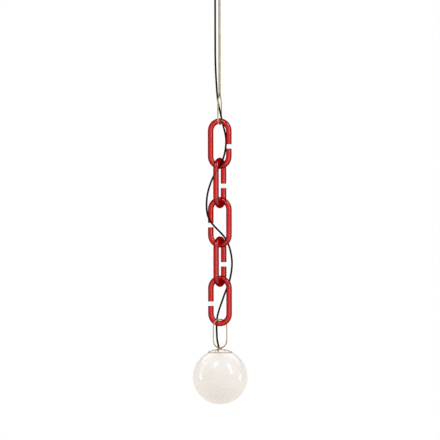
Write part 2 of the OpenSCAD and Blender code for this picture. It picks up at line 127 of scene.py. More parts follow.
def section_centre(node, level):
    """Centre of a node's cross-section at a level, as X and Y."""
    mesh = NODES[node].data
    pts = points_of(node)
    ends = np.array([e.vertices[:] for e in mesh.edges])
    a, b = pts[ends[:, 0]], pts[ends[:, 1]]
    cut = (a[:, 2] - level) * (b[:, 2] - level) < 0
    a, b = a[cut], b[cut]
    share = (level - a[:, 2]) / (b[:, 2] - a[:, 2])
    ring = np.unique(np.round((a + (b - a) * share[:, None])[:, :2], 7), axis=0)
    mean = ring.mean(0)
    ring = ring[np.argsort(np.arctan2(*(ring - mean).T[::-1]))] - mean
    nxt = np.roll(ring, -1, axis=0)
    cross = ring[:, 0] * nxt[:, 1] - nxt[:, 0] * ring[:, 1]
    return mean + ((ring + nxt) * cross[:, None]).sum(0) / (3 * cross.sum())


def centre_line(names, spacing):
    """Centre line of a cable that runs down through these nodes, one point for each step in level."""
    levels, centres = [], []
    clear = 2.5 * MM
    sample = 6 * MM
    for name in names:
        top, foot = high_of(name).z - clear, low_of(name).z + clear
        steps = max(2, round((top - foot) / sample))
        for level in np.linspace(top, foot, steps):
            levels.append(level)
            centres.append(section_centre(name, level))
    levels, centres = np.array(levels[::-1]), np.array(centres[::-1])
    slopes = np.gradient(centres, levels, axis=0)
    top, foot = high_of(names[0]).z, low_of(names[-1]).z
    wanted = np.linspace(top, foot, round((top - foot) / spacing))
    line = []
    for level in wanted:
        i = int(np.clip(np.searchsorted(levels, level) - 1, 0, len(levels) - 2))
        span = levels[i + 1] - levels[i]
        t = np.clip((level - levels[i]) / span, 0, 1)
        ease = t * t * (3 - 2 * t)
        flat = (
            centres[i] * (1 - ease) + centres[i + 1] * ease
            + slopes[i] * span * t * (1 - t) ** 2
            - slopes[i + 1] * span * t * t * (1 - t)
        )
        line.append(Vector((flat[0], flat[1], level)))
    return line


# ---- Mesh building ----

def mark_creases(work, crease):
    """Edges sharper than crease degrees stay crisp; the others are shaded smooth."""
    for edge in work.edges:
        edge.smooth = len(edge.link_faces) < 2 or edge.calc_face_angle(0) < math.radians(crease)


def piece(name, verts, faces, material, uvs=None, crease=CREASE):
    """A new smooth-shaded object; edges sharper than crease degrees stay crisp."""
    mesh = bpy.data.meshes.new(name)
    mesh.from_pydata([tuple(v) for v in verts], [], faces)
    if uvs is not None:
        layer = mesh.uv_layers.new(name="run")
        layer.data.foreach_set("uv", [c for uv in uvs for c in uv])
    work = bmesh.new()
    work.from_mesh(mesh)
    bmesh.ops.recalc_face_normals(work, faces=work.faces)
    for face in work.faces:
        face.smooth = True
    mark_creases(work, crease)
    work.to_mesh(mesh)
    work.free()
    mesh.materials.append(material)
    obj = bpy.data.objects.new(name, mesh)
    bpy.context.scene.collection.objects.link(obj)
    return obj


def baked(obj, *modifiers):
    """Applies modifiers, each given as a type and its settings, and keeps the result as the mesh."""
    for kind, settings in modifiers:
        modifier = obj.modifiers.new(kind.lower(), kind)
        for key, value in settings.items():
            setattr(modifier, key, value)
    graph = bpy.context.evaluated_depsgraph_get()
    result = bpy.data.meshes.new_from_object(obj.evaluated_get(graph))
    obj.modifiers.clear()
    obj.data = result
    return obj


def frames_along(path, closed):
    """A pair of directions across the path at each point, carried along it without twisting."""
    count = len(path)
    heading = []
    for i in range(count):
        a = path[i - 1] if i > 0 or closed else path[i]
        b = path[(i + 1) % count] if i < count - 1 or closed else path[i]
        heading.append((b - a).normalized())
    across = heading[0].orthogonal().normalized()
    frames = []
    for i in range(count):
        if i:
            across = heading[i - 1].rotation_difference(heading[i]) @ across
        across = (across - heading[i] * across.dot(heading[i])).normalized()
        frames.append((across, heading[i].cross(across)))
    return frames


def rings_along(path, radii, sides, closed=False):
    """One ring of points round each point of the path."""
    rings = []
    for centre, radius, (u, v) in zip(path, radii, frames_along(path, closed)):
        turns = [math.tau * k / sides for k in range(sides)]
        rings.append([centre + (u * math.cos(t) + v * math.sin(t)) * radius for t in turns])
    return rings


def lengths_along(path, closed):
    total = [0.0]
    for i in range(1, len(path) + (1 if closed else 0)):
        total.append(total[-1] + (path[i % len(path)] - path[i - 1]).length)
    return total


def skin(name, rings, path, material, closed=False):
    """Quads over a row of rings, with the run's length in metres and the turn as its UV."""
    sides = len(rings[0])
    verts = [p for ring in rings for p in ring]
    run = lengths_along(path, closed)
    faces, uvs = [], []
    for i in range(len(rings) if closed else len(rings) - 1):
        j = (i + 1) % len(rings)
        for k in range(sides):
            m = (k + 1) % sides
            faces.append((i * sides + k, i * sides + m, j * sides + m, j * sides + k))
            uvs += [
                (run[i], k / sides), (run[i], (k + 1) / sides),
                (run[i + 1], (k + 1) / sides), (run[i + 1], k / sides),
            ]
    if not closed:
        for ring, base in ((0, 0), (len(rings) - 1, (len(rings) - 1) * sides)):
            centre = len(verts)
            verts.append(sum(rings[ring], Vector()) / sides)
            for k in range(sides):
                faces.append((base + k, base + (k + 1) % sides, centre))
                uvs += [(run[ring], k / sides), (run[ring], (k + 1) / sides), (run[ring], 0.5)]
    return piece(name, verts, faces, material, uvs)


def lathe(name, profile, material, centre=(0, 0), segments=96, crease=CREASE):
    """A closed outline of (radius, level) points turned about an upright axis."""
    verts, faces, uvs = [], [], []
    starts = []
    for radius, level in profile:
        starts.append(len(verts))
        if radius < ON_AXIS:
            verts.append((centre[0], centre[1], level))
        else:
            for k in range(segments):
                t = math.tau * k / segments
                x, y = centre[0] + radius * math.cos(t), centre[1] + radius * math.sin(t)
                verts.append((x, y, level))
    run = [0.0]
    for a, b in zip(profile, profile[1:] + profile[:1]):
        run.append(run[-1] + math.dist(a, b))
    for i in range(len(profile)):
        j = (i + 1) % len(profile)
        on_axis = (profile[i][0] < ON_AXIS, profile[j][0] < ON_AXIS)
        if all(on_axis):
            continue
        for k in range(segments):
            m = (k + 1) % segments
            u0, u1 = k / segments, (k + 1) / segments
            if on_axis[0]:
                faces.append((starts[i], starts[j] + m, starts[j] + k))
                uvs += [(run[i], u0), (run[i + 1], u1), (run[i + 1], u0)]
            elif on_axis[1]:
                faces.append((starts[i] + k, starts[i] + m, starts[j]))
                uvs += [(run[i], u0), (run[i], u1), (run[i + 1], u0)]
            else:
                faces.append((starts[i] + k, starts[i] + m, starts[j] + m, starts[j] + k))
                uvs += [(run[i], u0), (run[i], u1), (run[i + 1], u1), (run[i + 1], u0)]
    return piece(name, verts, faces, material, uvs, crease)


def arc(centre, radius, start, end, steps):
    """Outline points (radius, level) on an arc between two angles in degrees."""
    angles = [math.radians(start + (end - start) * i / steps) for i in range(steps + 1)]
    return [(centre[0] + radius * math.cos(a), centre[1] + radius * math.sin(a)) for a in angles]


def upright_arc(centre, along, radius, start, end, steps):
    """Points on an arc that stands upright in the plane of a horizontal direction."""
    points = arc((0, 0), radius, start, end, steps)
    return [centre + along * x + UP * z for x, z in points]


def straight(a, b, steps):
    """Points between two points, without either of them."""
    return [a.lerp(b, i / steps) for i in range(1, steps)]


def joined(obj, body, slot, *nodes):
    """Puts a finished piece on its body, in the place of the nodes it stands for."""
    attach(obj, body)
    if nodes:
        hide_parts(*nodes)
    return obj


# ---- Materials ----

WHITE = (1, 1, 1, 1)
EVEN = (1, 1, 1)


def add(tree, kind, values=None, **settings):
    """A shader node with its settings and inputs; an input is a value or another node's output."""
    node = tree.nodes.new("ShaderNode" + kind)
    for key, value in settings.items():
        setattr(node, key, value)
    for key, value in (values or {}).items():
        if isinstance(value, bpy.types.NodeSocket):
            tree.links.new(value, node.inputs[key])
        else:
            node.inputs[key].default_value = value
    return node


def material(name):
    made = bpy.data.materials.new(name)
    made.use_nodes = True
    made.node_tree.nodes.clear()
    return made, made.node_tree


def finish_material(tree, surface):
    output = tree.nodes.new("ShaderNodeOutputMaterial")
    tree.links.new(surface, output.inputs["Surface"])


def number(tree, operation, *values):
    """One sum on numbers."""
    return add(tree, "Math", dict(enumerate(values)), operation=operation).outputs[0]


def mix(tree, factor, a, b, **settings):
    """Colour that is a where factor is 0 and b where it is 1."""
    values = {"Factor": factor, "A": a, "B": b}
    return add(tree, "Mix", values, data_type="RGBA", **settings).outputs["Result"]


def spread(tree, factor, low, high, start=0.0, end=1.0):
    """Number that runs from low to high as factor goes from start to end."""
    return add(
        tree, "MapRange",
        {"Value": factor, "From Min": start, "From Max": end, "To Min": low, "To Max": high},
        interpolation_type="SMOOTHSTEP",
    ).outputs["Result"]


def ramp(tree, factor, low, high, start=0.0, end=1.0):
    """Colour that runs from low to high as factor goes from start to end."""
    return mix(tree, spread(tree, factor, 0, 1, start, end), (*low, 1), (*high, 1))


def place(tree, scale, source="Object"):
    """Coordinates in metres, stretched by scale."""
    at = add(tree, "TexCoord").outputs[source]
    return add(tree, "Mapping", {"Vector": at, "Scale": scale}).outputs["Vector"]


def noise(tree, where, scale, detail=3.0, roughness=0.5):
    values = {"Vector": where, "Scale": scale, "Detail": detail, "Roughness": roughness}
    return add(tree, "TexNoise", values).outputs["Fac"]


def bump(tree, height, depth, strength=1.0, under=None):
    values = {"Height": height, "Distance": depth, "Strength": strength}
    if under is not None:
        values["Normal"] = under
    return add(tree, "Bump", values).outputs["Normal"]


def brass(
    name, source="Object", stretch=EVEN, grain=1400, heat_tint_and_shade=None, polish=(0.2, 0.34),
    light=(0.68, 0.56, 0.37), deep=(0.56, 0.44, 0.26),
):
    """Satin brass: drawn or spun lines, slightly uneven colour and bright worn edges."""
    made, tree = material(name)
    cloudy = noise(tree, place(tree, EVEN), 55, 4)
    lines = noise(tree, place(tree, stretch, source), grain, 2)
    colour = ramp(tree, cloudy, deep, light, 0.3, 0.7)
    edge = add(tree, "NewGeometry").outputs["Pointiness"]
    colour = mix(tree, spread(tree, edge, 0, 0.5, 0.52, 0.6), colour, (0.86, 0.77, 0.6, 1))
    if heat_tint_and_shade is not None:
        # heat tint round a brazed joint, given as its centre and reach, fades out unevenly; a wide reach also
        # paints shade
        centre, reach = heat_tint_and_shade
        at = add(tree, "TexCoord").outputs["Object"]
        away = add(tree, "VectorMath", {0: at, 1: centre}, operation="DISTANCE")
        uneven = number(tree, "MULTIPLY", cloudy, 0.5 * reach)
        distance = number(tree, "ADD", away.outputs["Value"], uneven)
        tint_and_shade = spread(tree, distance, 0.85, 0, 0.3 * reach, 1.4 * reach)
        colour = mix(tree, tint_and_shade, colour, (0.3, 0.18, 0.09, 1))
    rough = spread(tree, lines, *polish, 0.3, 0.7)
    normal = bump(tree, lines, 0.012 * MM, 0.6)
    surface = add(
        tree, "BsdfPrincipled",
        {"Base Color": colour, "Metallic": 1.0, "Roughness": rough, "Normal": normal},
    )
    finish_material(tree, surface.outputs[0])
    return made


def tinted_red(name, shade):
    """Glossy red cast rod: light comes through its middle, and painted shade makes its edges deep and dark.

    A little emission is painted glow, standing for the light that the rod carries along inside it.
    """
    made, tree = material(name)
    facing = add(tree, "LayerWeight", {"Blend": 0.5}).outputs["Facing"]
    inside = add(tree, "NewGeometry").outputs["Backfacing"]
    cloudy = noise(tree, place(tree, EVEN), 28, 3)
    ripple = noise(tree, place(tree, (1, 1, 0.35)), 38, 1)
    scuffs = noise(tree, place(tree, (1, 1, 0.2)), 260, 3, 0.6)
    normal = bump(tree, ripple, 0.25 * MM, 0.2)
    low, high = (0.21 * shade, 0.002, 0.003), (0.27 * shade, 0.004, 0.006)
    body = ramp(tree, cloudy, low, high, 0.3, 0.7)
    # painted shade: the base colour darkens to this rim at the grazing edges
    painted_rim_shade = (0.07 * shade, 0.001, 0.002, 1)
    edge = mix(tree, spread(tree, facing, 0, 1, 0.04, 0.4), body, painted_rim_shade)
    solid = add(
        tree, "BsdfPrincipled",
        {
            "Base Color": edge, "Roughness": spread(tree, scuffs, 0.13, 0.19, 0.35, 0.7),
            "IOR": 1.52, "Specular IOR Level": spread(tree, facing, 1.0, 0, 0.05, 0.35),
            "Coat Weight": spread(tree, facing, 0.2, 0, 0.05, 0.4), "Coat Roughness": 0.1,
            # painted glow: this emission stands for light carried inside the rod
            "Emission Color": (0.6, 0.001, 0.003, 1), "Emission Strength": 0.22 * shade,
            "Normal": normal,
        },
    ).outputs[0]
    # painted shade as well: the see-through tint darkens towards the grazing edges
    # the tint is all in the front wall, and the far wall of the rod lets the light by
    deep = ramp(tree, facing, (0.68 * shade, 0.003, 0.002), (0.16 * shade, 0.0, 0.0), 0.04, 0.4)
    tint = mix(tree, inside, deep, WHITE)
    through = add(tree, "BsdfTransparent", {"Color": tint}).outputs[0]
    share = number(tree, "MAXIMUM", spread(tree, facing, 0.5, 0.15, 0.1, 0.6), inside)
    mixed = add(tree, "MixShader", {"Fac": share, 1: solid, 2: through}).outputs[0]
    finish_material(tree, mixed)
    return made


def opal():
    """Opal glass under a thin clear skin, faintly uneven, with painted warm light from below that makes it warmer
    towards the bottom.
    """
    made, tree = material("opal_glass")
    cloudy = noise(tree, place(tree, EVEN), 18, 3)
    wave = noise(tree, place(tree, EVEN), 30, 1)
    level = add(
        tree, "SeparateXYZ", {"Vector": add(tree, "TexCoord").outputs["Object"]}
    ).outputs["Z"]
    low, high = low_of("globe").z, high_of("globe").z
    # painted light: the colour warms towards the bottom as if lit from the floor below
    colour = ramp(tree, level, (0.785, 0.745, 0.70), (0.785, 0.76, 0.735), low, high)
    cloud = mix(tree, spread(tree, cloudy, 0, 0.35, 0.35, 0.75), colour, (0.83, 0.80, 0.77, 1))
    surface = add(
        tree, "BsdfPrincipled",
        {
            "Base Color": cloud, "Roughness": 0.3, "IOR": 1.5,
            "Subsurface Weight": 0.15, "Subsurface Radius": (0.012, 0.010, 0.008),
            "Subsurface Scale": 0.5, "Coat Weight": 0.8, "Coat Roughness": 0.06,
            "Coat IOR": 1.5, "Normal": bump(tree, wave, 0.3 * MM, 0.25),
        },
    )
    finish_material(tree, surface.outputs[0])
    return made


def braid():
    """Black textile braid: two sets of yarns cross as they wind round the cable."""
    pitch = 1.7 * MM
    yarns_round = 10
    made, tree = material("black_sheath")
    uv = add(tree, "TexCoord").outputs["UV"]
    split = add(tree, "SeparateXYZ", {"Vector": uv})
    along = number(tree, "MULTIPLY", split.outputs["X"], 1 / pitch)
    round_it = number(tree, "MULTIPLY", split.outputs["Y"], yarns_round)
    ridges = []
    for operation in ("ADD", "SUBTRACT"):
        phase = number(tree, operation, along, round_it)
        ridges.append(number(tree, "SINE", number(tree, "MULTIPLY", phase, math.tau)))
    yarn = number(tree, "MAXIMUM", *ridges)
    fuzz = noise(tree, place(tree, EVEN), 2600, 4, 0.7)
    height = number(tree, "ADD", yarn, number(tree, "MULTIPLY", fuzz, 0.6))
    # painted shade: the colour is darker in the grooves between the yarns than on their crowns
    colour = ramp(tree, height, (0.0015, 0.0015, 0.0015), (0.007, 0.007, 0.0075), -0.4, 1.5)
    surface = add(
        tree, "BsdfPrincipled",
        {
            "Base Color": colour,
            "Roughness": spread(tree, yarn, 0.9, 0.65, -0.4, 1.0),
            "Specular IOR Level": 0.03,
            "Normal": bump(tree, height, 0.12 * MM, 0.6),
        },
    )
    finish_material(tree, surface.outputs[0])
    return made


def moulded(name, light, dark, rough, texture=700, depth=0.02, **extra):
    """Moulded plastic, rubber, ceramic or silicone: a fine skin and a slight change of tone."""
    made, tree = material(name)
    skin_grain = noise(tree, place(tree, EVEN), texture, 4, 0.6)
    cloudy = noise(tree, place(tree, EVEN), 90, 3)
    values = {
        "Base Color": ramp(tree, cloudy, dark, light, 0.3, 0.7),
        "Roughness": spread(tree, skin_grain, rough * 0.85, min(1, rough * 1.15), 0.3, 0.7),
        "Normal": bump(tree, skin_grain, depth * MM, 0.5),
    }
    values.update({key.replace("_", " "): value for key, value in extra.items()})
    finish_material(tree, add(tree, "BsdfPrincipled", values).outputs[0])
    return made


def zinc():
    """Zinc-plated steel: bluish grains and fine scratches."""
    made, tree = material("zinc_steel")
    where = place(tree, EVEN)
    grains = add(
        tree, "TexVoronoi", {"Vector": where, "Scale": 420}, feature="SMOOTH_F1"
    ).outputs["Distance"]
    scratches = noise(tree, place(tree, (1, 14, 1)), 240, 3)
    colour = ramp(tree, grains, (0.50, 0.52, 0.55), (0.64, 0.65, 0.67), 0, 0.6)
    surface = add(
        tree, "BsdfPrincipled",
        {
            "Base Color": colour, "Metallic": 1.0,
            "Roughness": spread(tree, scratches, 0.28, 0.5, 0.35, 0.65),
            "Normal": bump(tree, scratches, 0.02 * MM, 0.4),
        },
    )
    finish_material(tree, surface.outputs[0])
    return made


def clear_glass():
    made, tree = material("clear_glass")
    wave = noise(tree, place(tree, EVEN), 60, 1)
    surface = add(
        tree, "BsdfPrincipled",
        {
            "Base Color": (0.97, 0.98, 0.97, 1), "Roughness": 0.02, "IOR": 1.45,
            "Transmission Weight": 1.0, "Normal": bump(tree, wave, 0.2 * MM, 0.2),
        },
    )
    finish_material(tree, surface.outputs[0])
    return made


def glow():
    made, tree = material("glow")
    speckle = noise(tree, place(tree, EVEN), 3000, 3)
    surface = add(
        tree, "BsdfPrincipled",
        {
            "Base Color": ramp(tree, speckle, (0.75, 0.50, 0.08), (0.9, 0.68, 0.2), 0.3, 0.7),
            "Roughness": 0.7,
        },
    )
    finish_material(tree, surface.outputs[0])
    return made


def two_cores():
    """Brown insulation on one core and blue on the other, told apart by their side of the node."""
    made, tree = material("core_sheath")
    waxy = noise(tree, place(tree, EVEN), 500, 3)
    at = add(tree, "SeparateXYZ", {"Vector": add(tree, "TexCoord").outputs["Generated"]})
    brown = ramp(tree, waxy, (0.13, 0.055, 0.025), (0.18, 0.08, 0.035), 0.3, 0.7)
    blue = ramp(tree, waxy, (0.02, 0.10, 0.36), (0.03, 0.14, 0.45), 0.3, 0.7)
    side = number(tree, "GREATER_THAN", at.outputs["X"], 0.42)
    colour = mix(tree, side, blue, brown)
    surface = add(tree, "BsdfPrincipled", {"Base Color": colour, "Roughness": 0.35})
    finish_material(tree, surface.outputs[0])
    return made


RED = tinted_red("red_tint", 1.0)
# painted shade: a darker copy of the rod's finish, used on the cut ends
SHADED_RED_CUT = tinted_red("red_cut_shaded", 0.35)
OPAL = opal()
BRAID = braid()
RUBBER = moulded("black_rubber", (0.022, 0.022, 0.023), (0.012, 0.012, 0.012), 0.6, 900, 0.03)
ZINC = zinc()
BRASS = brass("brass_turned", stretch=(1, 1, 9))
CAD_MATERIALS = {
    "zinc_steel": ZINC,
    "brass": BRASS,
    "white_plastic": moulded("white_plastic", (0.80, 0.79, 0.75), (0.76, 0.745, 0.70), 0.35),
    "clip_plastic": moulded("clip_plastic", (0.66, 0.66, 0.63), (0.6, 0.6, 0.57), 0.45, 900),
    "white_ceramic": moulded(
        "white_ceramic", (0.84, 0.82, 0.77), (0.80, 0.78, 0.72), 0.12, 300, 0.03, Coat_Weight=0.6
    ),
    "black_rubber": RUBBER,
    "clear_silicone": moulded(
        "clear_silicone", (0.78, 0.77, 0.74), (0.7, 0.69, 0.66), 0.4, 500, 0.02,
        Transmission_Weight=0.5,
    ),
    "core_sheath": two_cores(),
    "clear_glass": clear_glass(),
    "glow": glow(),
}


# ---- Links ----

def rod_link(number_in_chain):
    """One red link: an open loop of round rod whose cut ends are square with softened edges."""
    node = f"link_{number_in_chain}"
    rod, width, along = standing_loop(node)
    side, gap_low, gap_high = opening_of(node, along, width)
    along = along * side
    radius, reach = rod / 2, width / 2
    crown = Vector((0, 0, high_of(node).z - radius - reach))
    foot = Vector((0, 0, low_of(node).z + radius + reach))
    soft = 1.1 * MM
    dish, dish_edge = 0.25 * MM, 0.12 * MM
    path = [along * reach + UP * gap_high]
    path += straight(path[0], crown + along * reach, 8)
    path += upright_arc(crown, along, reach, 0, 180, 48)
    path += straight(crown - along * reach, foot - along * reach, 14)
    path += upright_arc(foot, along, reach, 180, 360, 48)
    path += straight(foot + along * reach, along * reach + UP * gap_low, 8)
    path += [along * reach + UP * gap_low]
    # each cut end: a shallow dish, then a quarter round out to the full rod
    depths = [dish, dish_edge]
    end_radii = [radius * 0.35, radius * 0.7]
    for step in range(7):
        angle = math.radians(90 - 15 * step)
        depths.append(soft - soft * math.sin(angle))
        end_radii.append(radius - soft + soft * math.cos(angle))
    head = [path[0] + UP * depth for depth in depths]
    tail = [path[-1] - UP * depth for depth in reversed(depths)]
    middle = path[1:-1]
    path = head + middle + tail
    radii = end_radii + [radius] * len(middle) + end_radii[::-1]
    rings = rings_along(path, radii, 56)
    obj = skin(f"{node}_rod", rings, path, RED)
    # the softened edges of the two cuts get painted shade, a darker copy of the rod's finish
    obj.data.materials.append(SHADED_RED_CUT)
    for face in obj.data.polygons:
        beyond = abs(face.center.z - (gap_low + gap_high) / 2) - (gap_high - gap_low) / 2
        if face.center.dot(along) > reach - 2 * radius and beyond < soft:
            face.material_index = 1
    return joined(obj, f"chain_link_{number_in_chain}", "red_tint", node)


RODS = [rod_link(number_in_chain) for number_in_chain in range(1, 6)]


# ---- Wire loops, stem and brazed joints ----

def wire_loop(node, body, braze_at):
    """A closed loop of drawn brass wire, heat tinted where it is brazed, with painted shade carried by the tint's
    wide reach over that end of the loop.
    """
    rod, width, along = standing_loop(node)
    radius, reach = rod / 2, width / 2
    crown = Vector((0, 0, high_of(node).z - radius - reach))
    foot = Vector((0, 0, low_of(node).z + radius + reach))
    path = upright_arc(crown, along, reach, 0, 180, 40)
    path += straight(crown - along * reach, foot - along * reach, 10)
    path += upright_arc(foot, along, reach, 180, 360, 40)
    path += straight(foot + along * reach, crown + along * reach, 10)
    # the 26 mm reach paints shade over the brazed end of the loop as well as heat tint
    metal = brass(
        f"brass_{node}", "UV", (6, 0.02, 1), 1200, ((0, 0, braze_at), 26 * MM)
    )
    rings = rings_along(path, [radius] * len(path), 28, closed=True)
    joined(skin(f"{node}_wire", rings, path, metal, closed=True), body, "brass", node)
    return metal


def merged(name, parts, metal, grain, smoothing):
    """One skin over overlapping solids, with their inside corners filled and rounded."""
    work = bmesh.new()
    for part in parts:
        work.from_mesh(part.data)
        bpy.data.objects.remove(part)
    mesh = bpy.data.meshes.new(name)
    work.to_mesh(mesh)
    work.free()
    obj = bpy.data.objects.new(name, mesh)
    bpy.context.scene.collection.objects.link(obj)
    baked(
        obj,
        ("REMESH", {"mode": "VOXEL", "voxel_size": grain, "use_smooth_shade": True}),
        ("SMOOTH", {"factor": 0.5, "iterations": smoothing}),
    )
    obj.data.materials.clear()
    obj.data.materials.append(metal)
    return obj


FILLET = 0.12 * MM
STEM_RADIUS = (high_of("stem").x - low_of("stem").x) / 2
UPPER_CROWN = high_of("upper_loop").z
LOWER_FOOT = low_of("lower_loop").z

upper_metal = wire_loop("upper_loop", "stem_mount", UPPER_CROWN)
lower_metal = wire_loop("lower_loop", "lamp", LOWER_FOOT)


def braze(node, body, metal, crown_up, extra):
    """The fillet of brazing metal between a wire loop's end and what it is joined to."""
    rod, width, along = standing_loop(node)
    reach = width / 2
    if crown_up:
        centre = Vector((0, 0, high_of(node).z - rod / 2 - reach))
        middle = 90
    else:
        centre = Vector((0, 0, low_of(node).z + rod / 2 + reach))
        middle = 270
    half_turn = 24
    path = upright_arc(centre, along, reach, middle - half_turn, middle + half_turn, 12)
    wire = skin("wire", rings_along(path, [rod / 2 + FILLET] * len(path), 24), path, metal)
    name = node.replace("loop", "braze")
    joined(merged(name, [wire, extra], metal, 0.3 * MM, 10), body, "brass")


def stem_stub():
    """The last few millimetres of the stem, a little fuller than the stem itself."""
    rod = standing_loop("upper_loop")[0]
    top, foot = UPPER_CROWN + 7 * MM, UPPER_CROWN - rod * 0.6
    radius = STEM_RADIUS + FILLET
    outline = [(0, top), (radius, top), (radius, foot), (0, foot)]
    return lathe("stub", outline, upper_metal, segments=32)


def seat_stub():
    """A low mound of brazing metal over the saddle, under the wire."""
    along = standing_loop("lower_loop")[2]
    across = along.cross(UP)
    foot = LOWER_FOOT - 0.5 * MM
    base = (foot, 5.2 * MM, 2.1 * MM)
    waist = (foot + 0.7 * MM, 4.9 * MM, 1.9 * MM)
    crest = (foot + 1.2 * MM, 3.9 * MM, 1.4 * MM)
    steps = 24
    verts, faces = [], []
    for level, half_long, half_wide in (base, waist, crest):
        for k in range(steps):
            t = math.tau * k / steps
            flat = along * (half_long * math.cos(t)) + across * (half_wide * math.sin(t))
            verts.append(flat + UP * level)
    for i in range(2):
        for k in range(steps):
            m = (k + 1) % steps
            faces.append(
                (i * steps + k, i * steps + m, (i + 1) * steps + m, (i + 1) * steps + k)
            )
    faces.append(tuple(range(steps)))
    faces.append(tuple(range(2 * steps, 3 * steps)))
    return piece("mound", verts, faces, lower_metal)


braze("upper_loop", "stem_mount", upper_metal, True, stem_stub())
braze("lower_loop", "lamp", lower_metal, False, seat_stub())


def stem():
    """The drawn brass stem, chamfered at its top end."""
    top, foot = high_of("stem").z, UPPER_CROWN - 0.4 * MM
    chamfer = 0.5 * MM
    steps = 40
    outline = [(0, top), (STEM_RADIUS - chamfer, top), (STEM_RADIUS, top - chamfer)]
    outline += [(STEM_RADIUS, top + (foot - top) * i / steps) for i in range(1, steps)]
    outline += [(STEM_RADIUS, foot), (0, foot)]
    metal = brass(
        "brass_stem", "UV", (0.15, 2.2, 1), 900, ((0, 0, UPPER_CROWN), 6 * MM)
    )
    return joined(lathe("stem_rod", outline, metal, segments=40), "stem_mount", "brass", "stem")


stem()


# ---- Cap, globe and canopy ----

def bored(obj, centre, radius, low, high):
    """Cuts a round upright hole through a piece."""
    outline = [(0, low), (radius, low), (radius, high), (0, high)]
    cutter = lathe("cutter", outline, BRASS, centre, 48)
    baked(obj, ("BOOLEAN", {"operation": "DIFFERENCE", "solver": "EXACT", "object": cutter}))
    bpy.data.objects.remove(cutter)
    work = bmesh.new()
    work.from_mesh(obj.data)
    mark_creases(work, CREASE)
    work.to_mesh(obj.data)
    work.free()
    return obj


GLOBE_LOW, GLOBE_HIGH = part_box("globe")
GLOBE_RADIUS = (GLOBE_HIGH.x - GLOBE_LOW.x) / 2
GLOBE_LEVEL = GLOBE_LOW.z + GLOBE_RADIUS
CAP_RADIUS = (high_of("cap").x - low_of("cap").x) / 2
CAP_HOLE = 3.1 * MM
CANOPY_HOLE = 3.75 * MM
NECK_PLAY = 0.05 * MM
CANOPY_WALL = 1.5 * MM
BRAID_OVER = 0.35 * MM
CABLE_RADIUS = 2.05 * MM + BRAID_OVER


def middle_of(node):
    """Middle of a node's box, as X and Y."""
    low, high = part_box(node)
    return (low.x + high.x) / 2, (low.y + high.y) / 2


def cap():
    """Spun brass cap: a thin shallow dish with a rounded rim, bored for the stud and cable."""
    outer = high_of("cap").z - GLOBE_LEVEL
    centre = (0, GLOBE_LEVEL)
    thickness = 1.2 * MM
    lift = 0.5
    inner = outer - thickness
    rim_out = math.degrees(math.acos(CAP_RADIUS / outer))
    rim_in = math.degrees(math.acos(CAP_RADIUS / inner))
    stud = 2.6 * MM
    top_out = math.degrees(math.acos(stud / outer))
    top_in = math.degrees(math.acos(stud / inner))
    outline = arc(centre, outer, top_out, rim_out + lift, 30)
    tip_out, tip_in = outline[-1], arc(centre, inner, rim_in + lift, top_in, 30)[0]
    middle = ((tip_out[0] + tip_in[0]) / 2, (tip_out[1] + tip_in[1]) / 2)
    lean = math.degrees(math.atan2(tip_out[1] - middle[1], tip_out[0] - middle[0]))
    outline += arc(middle, thickness / 2, lean, lean - 180, 8)[1:-1]
    outline += arc(centre, inner, rim_in + lift, top_in, 30)
    # partly heat tint and partly painted shade: the tint round the saddle's foot darkens the cap there
    metal = brass(
        "brass_cap", "UV", (8, 0.02, 1), 700, ((0, 0, LOWER_FOOT), 6 * MM), (0.2, 0.3),
        light=(0.86, 0.78, 0.66), deep=(0.78, 0.69, 0.56),
    )
    shell = lathe("cap_shell", outline, metal, segments=128)
    bored(shell, middle_of("cap_grommet"), CAP_HOLE, GLOBE_LEVEL, high_of("cap").z + 5 * MM)
    return joined(shell, "lamp", "brass", "cap")


def globe():
    """Blown opal globe with a ground and fire-polished lip round its opening."""
    wall = 3 * MM
    opening = 25 * MM
    centre = (0, GLOBE_LEVEL)
    inner = GLOBE_RADIUS - wall
    lip_out = math.degrees(math.acos((opening + wall / 2) / GLOBE_RADIUS))
    lip_in = math.degrees(math.acos((opening + wall / 2) / inner))
    outline = arc(centre, GLOBE_RADIUS, -90, lip_out, 72)
    a, b = outline[-1], arc(centre, inner, lip_in, -90, 72)[0]
    middle = ((a[0] + b[0]) / 2, (a[1] + b[1]) / 2)
    lean = math.degrees(math.atan2(a[1] - middle[1], a[0] - middle[0]))
    outline += arc(middle, math.dist(a, b) / 2, lean, lean + 180, 10)[1:-1]
    outline += arc(centre, inner, lip_in, -90, 72)
    outline[0] = (0, outline[0][1])
    outline[-1] = (0, outline[-1][1])
    shell = lathe("globe_glass", outline, OPAL, segments=160)
    return joined(shell, "lamp", "opal_glass", "globe")


def ring_profile(radius, bore, low, high, neck, soft):
    """Outline of a rubber grommet: rounded lips above and below a neck."""
    neck_radius, neck_low, neck_high = neck
    outline = arc((radius - soft, low + soft), soft, -90, 0, 5)
    outline += arc((radius - soft, neck_low - soft * 0.4), soft, 0, 60, 4)
    outline += [(neck_radius, neck_low), (neck_radius, neck_high)]
    outline += arc((radius - soft, neck_high + soft * 0.4), soft, -60, 0, 4)
    outline += arc((radius - soft, high - soft), soft, 0, 90, 5)
    outline += arc((bore + soft, high - soft), soft, 90, 180, 5)
    outline += arc((bore + soft, low + soft), soft, 180, 270, 5)
    return outline


